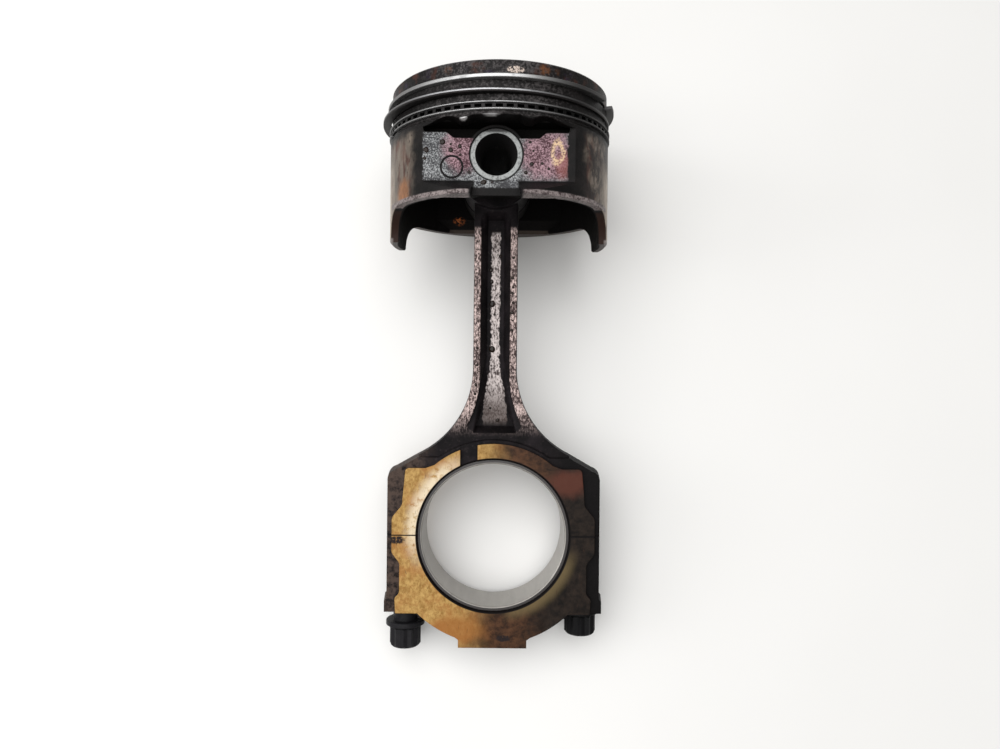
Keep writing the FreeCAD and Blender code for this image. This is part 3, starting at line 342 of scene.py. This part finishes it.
def with_oil_glints(p, colour):
    """Painted glints: light spots where oil hangs from the scalloped edge of the ring belt."""
    places = (
        (-10.4, 9.3, 38.3, 1.5, (1.0, 0.35, 1.5)), (-16.0, 9.9, 36.2, 1.0, (1.0, 0.3, 2)),
        (-1.8, 10.4, 39.6, 1.7, (1.5, 0.2, 1.5)), (16.6, 9.9, 36.2, 0.9, (1.0, 0.3, 2)),
    )
    for x, y, z, size, flat in places:
        painted_glint = p.spot(x, ROD_LENGTH + y, z, size, 0.8, flat)
        colour = p.mixed(p.calc("MULTIPLY", painted_glint, 0.8), colour, (0.75, 0.74, 0.74))
    return colour


def piston_paint():
    p = Paint("piston_alloy_oily")
    here = PistonPlace(p)
    on_flat = on_side_flat(p, here)
    on_skirt = on_outer_skirt(p, here)
    rim = on_lower_rim(p, here)
    colour = p.mixed(on_flat, cast_alloy(p, here), flat_metal(p, here))
    colour = p.mixed(on_skirt, colour, skirt_metal(p, here))
    colour = with_lower_edge(p, here, colour, rim)
    colour, chip = with_top_land(p, here, colour)

    # ash on the crown
    crown = p.calc("MULTIPLY", p.step(here.height, 26.2, 26.4), p.step(here.radius, 39.3, 39.0))
    ash = p.step(p.noise(0.14, 5.0, 0.65, seed=9.5), 0.4, 0.7)
    colour = p.mixed(crown, colour, p.mixed(ash, (0.010, 0.009, 0.008), (0.060, 0.045, 0.034)))

    # the inside painted near black, partly soot and partly painted shade, with one painted rust-coloured
    # glint
    inside = p.many("MULTIPLY", p.step(here.radius, SKIRT_INNER_R + 0.7, SKIRT_INNER_R + 0.4),
                    p.step(here.height, 26.0, 25.0), p.inverse(on_flat), p.step(here.up, 30.9, 30.6))
    colour = p.mixed(p.calc("MULTIPLY", inside, p.inverse(rim)), colour, (0.004, 0.0033, 0.003))
    rust_coloured_glint = p.spot(-15.4, ROD_LENGTH - 10.7, -27.2, 1.5, 0.9, (1.4, 0.9, 4))
    rust_coloured_glint = p.calc("MULTIPLY", rust_coloured_glint, p.step(p.noise(0.9, 3.0, 0.7, seed=9.7), 0.42, 0.60))
    colour = p.mixed(rust_coloured_glint, colour, (0.42, 0.12, 0.035))

    colour = with_oil_glints(p, colour)
    colour = p.mixed(p.step(here.pin_radius, 9.3, 9.2), colour, SOOT)
    rough = p.blend(on_skirt, p.blend(on_flat, 0.42, 0.50), 0.38)
    rough = p.blend(p.calc("MAXIMUM", crown, inside), rough, 0.72)
    return p.finish(Base_Color=colour, Roughness=rough, Metallic=p.calc("MULTIPLY", chip, 0.4),
                    Normal=speckled(p, p.rounded(0.35)), Specular_IOR_Level=0.09)


def ring_paint(name, light, dark, middle=None):
    """Ring metal under oil, with painted shade towards both sides. A ring whose middle is given is dark
    below it, painted shade on its tapered face.
    """
    p = Paint(name)
    oil = p.step(p.noise(0.22, 3.0, 0.6), 0.50, 0.75)
    # painted shade: the rings darken towards both sides, more at the right; the oil mask below carries it
    shade = p.calc("MAXIMUM", p.step(p.x, 4.0, 30.0), p.calc("MULTIPLY", p.step(p.x, -12.0, -38.0), 0.7))
    oil = p.calc("MAXIMUM", p.calc("MULTIPLY", oil, 0.45), p.calc("MULTIPLY", shade, 0.9))
    if middle is not None:
        # painted shade on the lower half of the tapered face
        above = p.calc("SUBTRACT", p.y, middle)
        oil = p.calc("MAXIMUM", oil, p.step(above, 0.10, -0.06))
    colour = p.mixed(oil, light, dark)
    normal = p.bumped(p.noise(1.2, 3.0, 0.6), 0.010, p.rounded(0.2))
    return p.finish(Base_Color=colour, Metallic=0.85, Roughness=p.blend(oil, 0.40, 0.50), Normal=normal)


def pin_paint():
    """Ground steel ends, dark at the top and round the edge, partly oil and partly painted shade, and a bore
    painted near black as painted shade.
    """
    p = Paint("pin_steel_oily")
    height = p.calc("SUBTRACT", p.y, ROD_LENGTH)
    radius = p.from_axis(p.x, height)
    # the bore, painted near black as painted shade
    inside = p.step(radius, PIN_MOUTH_R + 0.1, PIN_MOUTH_R - 0.1)
    ground = peppered(p, (0.24, 0.25, 0.245), (0.07, 0.07, 0.07), 0.40, 1.1)
    # dark at the top and round the edge: partly oil, partly painted shade
    oily = p.calc("MAXIMUM", p.step(height, 7.0, 7.9), p.calc("MULTIPLY", p.step(radius, 8.5, 8.8), 0.6))
    ground = p.mixed(oily, ground, (0.02, 0.019, 0.019))
    colour = p.mixed(inside, ground, (0.008, 0.007, 0.007))
    normal = p.bumped(p.noise(2.2, 3.0, 0.6), 0.06, p.rounded(0.3))
    return p.finish(Base_Color=colour, Metallic=0.25, Roughness=p.blend(inside, 0.45, 0.55), Normal=normal)


def forging_skin(p):
    """Blasted forging under black oil, with a violet-brown cast: lighter and browner at the left, darker at
    the right.
    """
    cloud = p.step(p.noise(0.1, 4.0, 0.6), 0.4, 0.7)
    colour = p.mixed(cloud, (0.0040, 0.0032, 0.0036), (0.013, 0.010, 0.0115))
    worn = p.step(p.noise(0.8, 4.0, 0.7, seed=1.0), 0.55, 0.72)
    colour = p.mixed(p.calc("MULTIPLY", worn, 0.22), colour, (0.09, 0.07, 0.07))
    # lighter and browner towards the left
    lighter_left = p.calc("MULTIPLY", p.step(p.x, -20.0, -31.0),
                   p.step(p.noise(0.5, 4.0, 0.7, seed=1.7), 0.30, 0.62))
    colour = p.mixed(p.calc("MULTIPLY", lighter_left, 0.8), colour, (0.080, 0.055, 0.044))
    # darker towards the right
    darker_right = p.calc("MULTIPLY", p.step(p.x, 14.0, 28.0), 0.85)
    return p.mixed(darker_right, colour, (0.0028, 0.0023, 0.0024))


def on_flanges(p, up, side):
    """1 on the outer faces of the I-beam's flanges, stopping short of the piston, where the rod is left dark
    as the piston's painted shadow.
    """
    flank = p.calc("SUBTRACT", side, p.calc("MULTIPLY", p.step(p.y, 62.0, 34.0), 9.5))
    return p.many("MULTIPLY", p.on_level(up, BEAM_Z, 0.03), p.step(p.y, 35.0, 47.0),
                  p.step(p.y, 113.2, 111.2), p.step(flank, 8.3, 7.6))


def on_web(p, up, side):
    """1 on a strip down the middle of the I-beam's web, which widens at its foot and stops short of the
    piston, where the rod is left dark as the piston's painted shadow.
    """
    edge = p.calc("SUBTRACT", side, p.calc("MULTIPLY", p.step(p.y, 66.0, 42.0), 3.0))
    edge = p.calc("ADD", edge, p.offset(p.noise(0.5, 3.0, seed=1.5), 2.2))
    return p.many("MULTIPLY", p.step(up, 2.8, 2.4), p.step(edge, 1.8, 1.35), p.step(p.y, 39.0, 42.5),
                  p.step(p.y, 112.2, 110.6), p.step(side, 6.5, 6.0))


def web_metal(p):
    # light specks partly painted highlights of the grain
    bare = peppered(p, (0.62, 0.55, 0.53), (0.060, 0.045, 0.043), 0.46, 1.7, 1.2, (1, 0.5, 1))
    foot = p.calc("MULTIPLY", p.step(p.y, 58.0, 44.0), 0.85)
    return p.mixed(foot, bare, (0.062, 0.045, 0.040))


def thrust_metal(p, radius, grain):
    """Ground faces: golden varnish at the left, baked brown and olive towards the right, that change partly
    a painted reflection, light at the left and dark at the right; with a painted highlight at the left and a
    painted sheen along the bore at the lower right.
    """
    gold = p.mixed(grain, (0.22, 0.115, 0.028), (0.46, 0.29, 0.10))
    patches = p.step(p.noise(0.13, 4.0, 0.65, seed=3.0), 0.42, 0.66)
    gold = p.mixed(p.calc("MULTIPLY", patches, 0.6), gold, (0.30, 0.125, 0.035))
    # painted highlight: pale colour on the left of the face, near the bore
    painted_highlight = p.calc("MULTIPLY", p.step(radius, 34.0, 29.0), p.step(p.x, -6.0, -20.0))
    painted_highlight = p.many("MULTIPLY", painted_highlight, p.between(p.y, -6.0, 30.0, 9.0),
                   p.step(p.noise(0.3, 4.0, 0.7, seed=3.3), 0.30, 0.52))
    gold = p.mixed(p.calc("MULTIPLY", painted_highlight, 0.85), gold, (0.70, 0.60, 0.44))
    baked = p.step(p.noise(0.3, 5.0, 0.75, seed=4.0), 0.3, 0.7)
    brown = p.mixed(baked, (0.016, 0.008, 0.005), (0.078, 0.035, 0.017))
    sludge = p.step(p.noise(0.25, 4.0, 0.7, seed=5.0), 0.3, 0.7)
    olive = p.mixed(sludge, (0.004, 0.003, 0.0026), (0.020, 0.0135, 0.010))
    # gold to brown to olive from left to right: partly varnish and stain, partly a painted reflection,
    # bright at the left and dark at the right
    stain_and_shade_drift = p.calc("ADD", p.x, p.offset(p.noise(0.09, 4.0, 0.6, seed=6.0), 16.0))
    stain_and_shade_drift = p.calc("SUBTRACT", stain_and_shade_drift, p.calc("MULTIPLY", p.y, 0.12))
    face = p.mixed(p.step(stain_and_shade_drift, -12.0, 6.0), gold, brown)
    face = p.mixed(p.step(stain_and_shade_drift, 10.0, 24.0), face, olive)

    rusted = p.spot(27.0, 19.5, FACE_Z, 6.0, 0.9, (1.2, 0.8, 1))
    face = p.mixed(p.calc("MULTIPLY", rusted, 0.8), face, (0.085, 0.027, 0.017))
    # painted sheen: an olive-golden band along the bore at the lower right
    bore_sheen = p.many("MULTIPLY", p.step(radius, 33.0, 28.5), p.between(p.y, -30.0, -8.0, 5.0),
                       p.step(p.x, 2.0, 8.0))
    face = p.mixed(p.calc("MULTIPLY", bore_sheen, 0.75), face, (0.135, 0.098, 0.045))
    burnt = p.spot(-14.0, -34.5, FACE_Z, 8.0, 1.0, (1.3, 0.6, 1))
    face = p.mixed(p.calc("MULTIPLY", burnt, 0.75), face, (0.27, 0.105, 0.025))
    scratches = p.step(p.noise(0.9, 3.0, 0.6, 1.5, (2.2, 0.3, 1.0), seed=7.0), 0.64, 0.70)
    face = p.mixed(p.calc("MULTIPLY", scratches, 0.6), face, (0.04, 0.02, 0.012))
    for x, y, size in ((-35.0, -1.8, 1.7), (3.8, -37.0, 1.5)):
        mark = p.spot(x, y, FACE_Z, size, 0.4, (1.7, 0.8, 1))
        mark = p.calc("MULTIPLY", mark, p.step(p.noise(1.6, 4.0, 0.8, seed=8.0), 0.36, 0.44))
        face = p.mixed(mark, face, (0.015, 0.010, 0.010))
    return face


def oil_and_shade_in_gaps(p, radius):
    """1 where the colour is near black: oil along the split line, and painted shade in the chamfer of the
    bore.
    """
    away = p.calc("ABSOLUTE", p.y)
    away = p.calc("SUBTRACT", away, p.calc("MULTIPLY", p.step(p.x, -5.0, 5.0), 0.16))
    split = p.calc("MULTIPLY", p.step(away, 0.32, 0.14), p.step(radius, BORE_R - 0.5, BORE_R - 0.1))
    # painted shade in the bore's chamfer
    chamfer = p.calc("MULTIPLY", p.step(radius, BORE_R + 0.85, BORE_R + 0.6), p.step(p.y, 60.0, 50.0))
    return p.calc("MAXIMUM", split, chamfer)


def forging_paint():
    p = Paint("rod_forging_varnished")
    up = p.calc("ABSOLUTE", p.z)
    side = p.calc("ABSOLUTE", p.x)
    radius = p.from_axis(p.x, p.y)
    flanges = on_flanges(p, up, side)
    web = on_web(p, up, side)
    on_face = p.calc("MULTIPLY", p.step(up, FACE_Z - 0.12, FACE_Z - 0.04), p.step(p.y, 40.0, 38.0))
    grain = p.step(p.noise(0.7, 5.0, 0.75, 0.3, (1.0, 0.7, 1.0), seed=2.0), 0.3, 0.7)

    # bare flange metal, its light specks partly painted highlights of the grain
    flange_metal = peppered(p, (0.60, 0.47, 0.44), (0.040, 0.026, 0.025), 0.52, 1.7, 1.0, (1, 0.45, 1))
    colour = p.mixed(flanges, forging_skin(p), flange_metal)
    colour = p.mixed(web, colour, web_metal(p))
    colour = p.mixed(on_face, colour, thrust_metal(p, radius, grain))
    colour = p.mixed(oil_and_shade_in_gaps(p, radius), colour, (0.003, 0.002, 0.002))

    rough_normal = speckled(p, p.rounded(0.8), 0.2)
    smooth_normal = p.bumped(grain, 0.03, p.rounded(0.25))
    normal = p.add("Mix", {0: on_face, 4: rough_normal, 5: smooth_normal}, out=1, data_type="VECTOR")
    bare = p.many("MAXIMUM", flanges, web, on_face)
    return p.finish(Base_Color=colour, Roughness=p.blend(bare, 0.60, 0.42), Normal=normal,
                    Specular_IOR_Level=0.09)


def bearing_paint():
    p = Paint("bearing_metal_satin")
    radius = p.from_axis(p.x, p.y)
    wiped = p.noise(0.35, 4.0, 0.6, 0.0, (1, 1, 0.15))
    colour = p.mixed(wiped, (0.24, 0.225, 0.205), (0.44, 0.42, 0.39))
    smear = p.step(p.noise(0.5, 4.0, 0.7, seed=2.0), 0.62, 0.7)
    colour = p.mixed(p.calc("MULTIPLY", smear, 0.35), colour, (0.10, 0.075, 0.055))
    # painted shade along the shell's outer edge, by the bore's chamfer: near black and not metallic
    edge = p.step(radius, SHELL_R + 0.42, SHELL_R + 0.55)
    colour = p.mixed(edge, colour, (0.010, 0.006, 0.005))
    normal = p.bumped(wiped, 0.02, p.rounded(0.2))
    metal = p.calc("MULTIPLY", p.inverse(edge), 0.6)
    return p.finish(Base_Color=colour, Metallic=metal, Roughness=p.blend(wiped, 0.32, 0.46), Normal=normal)


def bolt_paint():
    p = Paint("bolt_black_oxide")
    colour = p.mixed(p.noise(0.6, 4.0, 0.7), (0.004, 0.004, 0.005), (0.018, 0.017, 0.019))
    colour = p.mixed(p.calc("MULTIPLY", p.step(p.x, -10.0, 10.0), 0.9), colour, (0.0022, 0.0022, 0.0025))
    return p.finish(Base_Color=colour, Roughness=0.45, Normal=speckled(p, p.rounded(0.3), 0.1),
                    Specular_IOR_Level=0.12)


def oil_paint():
    p = Paint("engine_oil")
    colour = p.mixed(p.noise(0.3), (0.006, 0.004, 0.003), (0.016, 0.008, 0.004))
    return p.finish(Base_Color=colour, Roughness=0.08, Specular_IOR_Level=0.2)


def table_paint():
    p = Paint("table_white_lacquer")
    colour = p.mixed(p.noise(0.006, 3.0), (0.69, 0.685, 0.67), (0.75, 0.745, 0.735))
    return p.finish(Base_Color=colour, Roughness=0.3, Specular_IOR_Level=0.2)


def repaint():
    """Gives every CAD node its painted material in place of the plain one of its slot."""
    paints = {
        "piston_alloy": piston_paint(),
        "ring_steel": ring_paint("ring_steel_oily", (0.42, 0.42, 0.42), (0.020, 0.018, 0.018)),
        "ring_iron": ring_paint("ring_iron_oily", (0.36, 0.36, 0.37), (0.016, 0.014, 0.014), SECOND_RING_Y),
        "expander_steel": ring_paint("expander_steel_oily", (0.014, 0.013, 0.013), (0.003, 0.003, 0.003)),
        "pin_steel": pin_paint(),
        "rod_forging": forging_paint(),
        "bearing_metal": bearing_paint(),
        "bolt_steel": bolt_paint(),
    }
    for part in record["subparts"]:
        mesh = frame["nodes"][part["node"]].data
        mesh.materials.clear()
        mesh.materials.append(paints[part["material_slot"]])


# --------------------------------------------------------------------------------------- oil droplets

# above the highest point of the part, in the rod frame
PROBE_Z = 90.0


def surface_under(x, y, nodes):
    """The highest point and the normal of the named CAD nodes at a place seen along the pin."""
    start = at(x, y, PROBE_Z)
    best = None
    for node in nodes:
        hit, normal, _, distance = TREES[node].ray_cast(start, -ALONG_PIN)
        if hit is not None and (best is None or distance < best[2]):
            best = (hit, normal, distance)
    return best[:2]


def add_droplet(mesh, centre, normal, radius, rng):
    """A domed bead of oil with a slightly uneven edge, its skirt sunk into the surface."""
    aside = normal.orthogonal().normalized()
    ahead = normal.cross(aside)
    turns, lifts = 20, 7
    height, sunk = 0.42, 0.05
    phase = rng.uniform(0, math.tau)
    uneven = rng.uniform(0.03, 0.12)
    rows = []
    for i in range(lifts):
        tilt = math.pi / 2 * i / lifts
        row = []
        for k in range(turns):
            angle = math.tau * k / turns
            edge = radius * (1 + uneven * math.sin(2 * angle + phase) + uneven / 2 * math.sin(3 * angle))
            flat = (aside * math.cos(angle) + ahead * math.sin(angle)) * edge * math.cos(tilt)
            lift = normal * radius * (height * math.sin(tilt) - sunk)
            row.append(mesh.verts.new(centre + (flat + lift) * MM))
        rows.append(row)
    top = mesh.verts.new(centre + normal * radius * (height - sunk) * MM)
    for lower, upper in zip(rows, rows[1:]):
        for k in range(turns):
            n = (k + 1) % turns
            mesh.faces.new((lower[k], lower[n], upper[n], upper[k]))
    for k in range(turns):
        mesh.faces.new((rows[-1][k], rows[-1][(k + 1) % turns], top))
    mesh.faces.new(list(reversed(rows[0])))


def droplets(name, body, nodes, spots, paint):
    """One mesh of droplets on the upper side: each is (x, y, radius) in the rod frame's millimetres."""
    rng = random.Random(name)
    mesh = bmesh.new()
    for x, y, radius in spots:
        centre, normal = surface_under(x, y, nodes)
        if normal.dot(ALONG_PIN) < 0:
            normal = -normal
        add_droplet(mesh, centre, normal, radius, rng)
    return piece(name, mesh, body, paint)


def piece(name, mesh, body, paint):
    """A finished mesh as an object that rides on a CAD body."""
    bmesh.ops.recalc_face_normals(mesh, faces=mesh.faces)
    data = bpy.data.meshes.new(name)
    mesh.to_mesh(data)
    mesh.free()
    data.polygons.foreach_set("use_smooth", [True] * len(data.polygons))
    data.materials.append(paint)
    made = bpy.data.objects.new(name, data)
    bpy.context.scene.collection.objects.link(made)
    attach(made, body)
    return made


def tree_of(node):
    mesh = bmesh.new()
    mesh.from_mesh(frame["nodes"][node].data)
    tree = BVHTree.FromBMesh(mesh)
    mesh.free()
    return tree


TREES = {node: tree_of(node) for node in ("piston", "connecting_rod", "rod_cap")}


def oil_beads():
    paint = oil_paint()
    pin = ROD_LENGTH
    on_flat = [
        (-23.6, pin + 1.2, 0.95), (-24.1, pin - 1.6, 0.6), (-18.1, pin + 3.9, 0.95), (-15.3, pin + 1.2, 0.8),
        (-15.4, pin + 3.2, 0.4), (-12.3, pin + 2.5, 0.7), (-12.1, pin - 0.3, 0.45), (-9.1, pin - 6.1, 0.6),
        (-4.2, pin - 9.5, 0.95), (-1.4, pin - 9.5, 0.35),
        (12.4, pin + 1.2, 0.4), (11.9, pin - 3.2, 0.7), (15.4, pin - 3.0, 0.5), (17.6, pin - 4.8, 0.5),
        (9.9, pin - 6.1, 0.65), (11.3, pin + 4.1, 0.5),
    ]
    droplets("oil_beads_piston", "piston", ["piston"], on_flat, paint)
    on_rod = [
        (6.5, 101.5, 0.55), (6.2, 94.1, 0.6), (6.5, 90.6, 0.5), (6.2, 88.5, 0.6), (6.5, 85.0, 0.55),
        (6.1, 81.3, 0.7), (6.5, 78.4, 0.35), (6.1, 74.9, 0.6),
        (-6.5, 68.2, 0.5), (-6.5, 62.0, 0.55), (-6.9, 54.7, 0.65), (-7.2, 51.4, 0.55),
        (1.6, 102.8, 0.65), (-1.8, 97.6, 0.75), (-1.5, 93.3, 0.8), (-1.2, 85.0, 1.2), (-0.3, 81.0, 0.5),
        (-1.1, 68.0, 1.2), (1.2, 41.5, 0.7), (-1.6, 46.0, 0.5),
    ]
    droplets("oil_beads_rod", "rod", ["connecting_rod"], on_rod, paint)


# ------------------------------------------------------------------------------------ table and light

def table():
    """A plain pale tabletop, far wider than the view."""
    mesh = bmesh.new()
    half_side = 1.6
    bmesh.ops.create_grid(mesh, x_segments=24, y_segments=24, size=half_side)
    data = bpy.data.meshes.new("table_top")
    mesh.to_mesh(data)
    mesh.free()
    data.materials.append(table_paint())
    top = bpy.data.objects.new("table_top", data)
    bpy.context.scene.collection.objects.link(top)


def soft_light(name, place, target, size, power):
    data = bpy.data.lights.new(name, "AREA")
    data.shape = "RECTANGLE"
    data.size, data.size_y = size
    data.energy = power
    light = bpy.data.objects.new(name, data)
    light.location = place
    light.rotation_euler = (Vector(target) - Vector(place)).to_track_quat("-Z", "Y").to_euler()
    bpy.context.scene.collection.objects.link(light)


def lights():
    middle = at(0, ROD_LENGTH / 2, 0)
    soft_light("softbox_over", at(-220, 340, 1050), middle, (1.50, 1.30), 17.5)
    soft_light("softbox_left", at(-900, 200, 500), middle, (0.5, 0.5), 3.2)
    world = bpy.data.worlds.new("pale_room")
    world.use_nodes = True
    background = world.node_tree.nodes["Background"]
    background.inputs["Color"].default_value = (1.0, 0.99, 0.97, 1)
    background.inputs["Strength"].default_value = 0.38
    bpy.context.scene.world = world
    bpy.context.scene.view_settings.view_transform = "Standard"


def camera():
    """Looks straight down along the wrist pin, turned by about half a degree."""
    data = bpy.data.cameras.new("camera")
    data.sensor_width = 36.0
    data.lens = 27.0
    data.clip_start = 0.01
    data.clip_end = 20.0
    view = bpy.data.objects.new("camera", data)
    place = at(1.93, 58.6, 282.8)
    lean = math.radians(0.56)
    right = ACROSS * math.cos(lean) + ALONG_ROD * math.sin(lean)
    up = ALONG_ROD * math.cos(lean) - ACROSS * math.sin(lean)
    turned = Matrix((right, up, ALONG_PIN)).transposed().to_4x4()
    view.matrix_world = Matrix.Translation(place) @ turned
    bpy.context.scene.collection.objects.link(view)
    bpy.context.scene.camera = view


repaint()
oil_beads()
table()
lights()
camera()
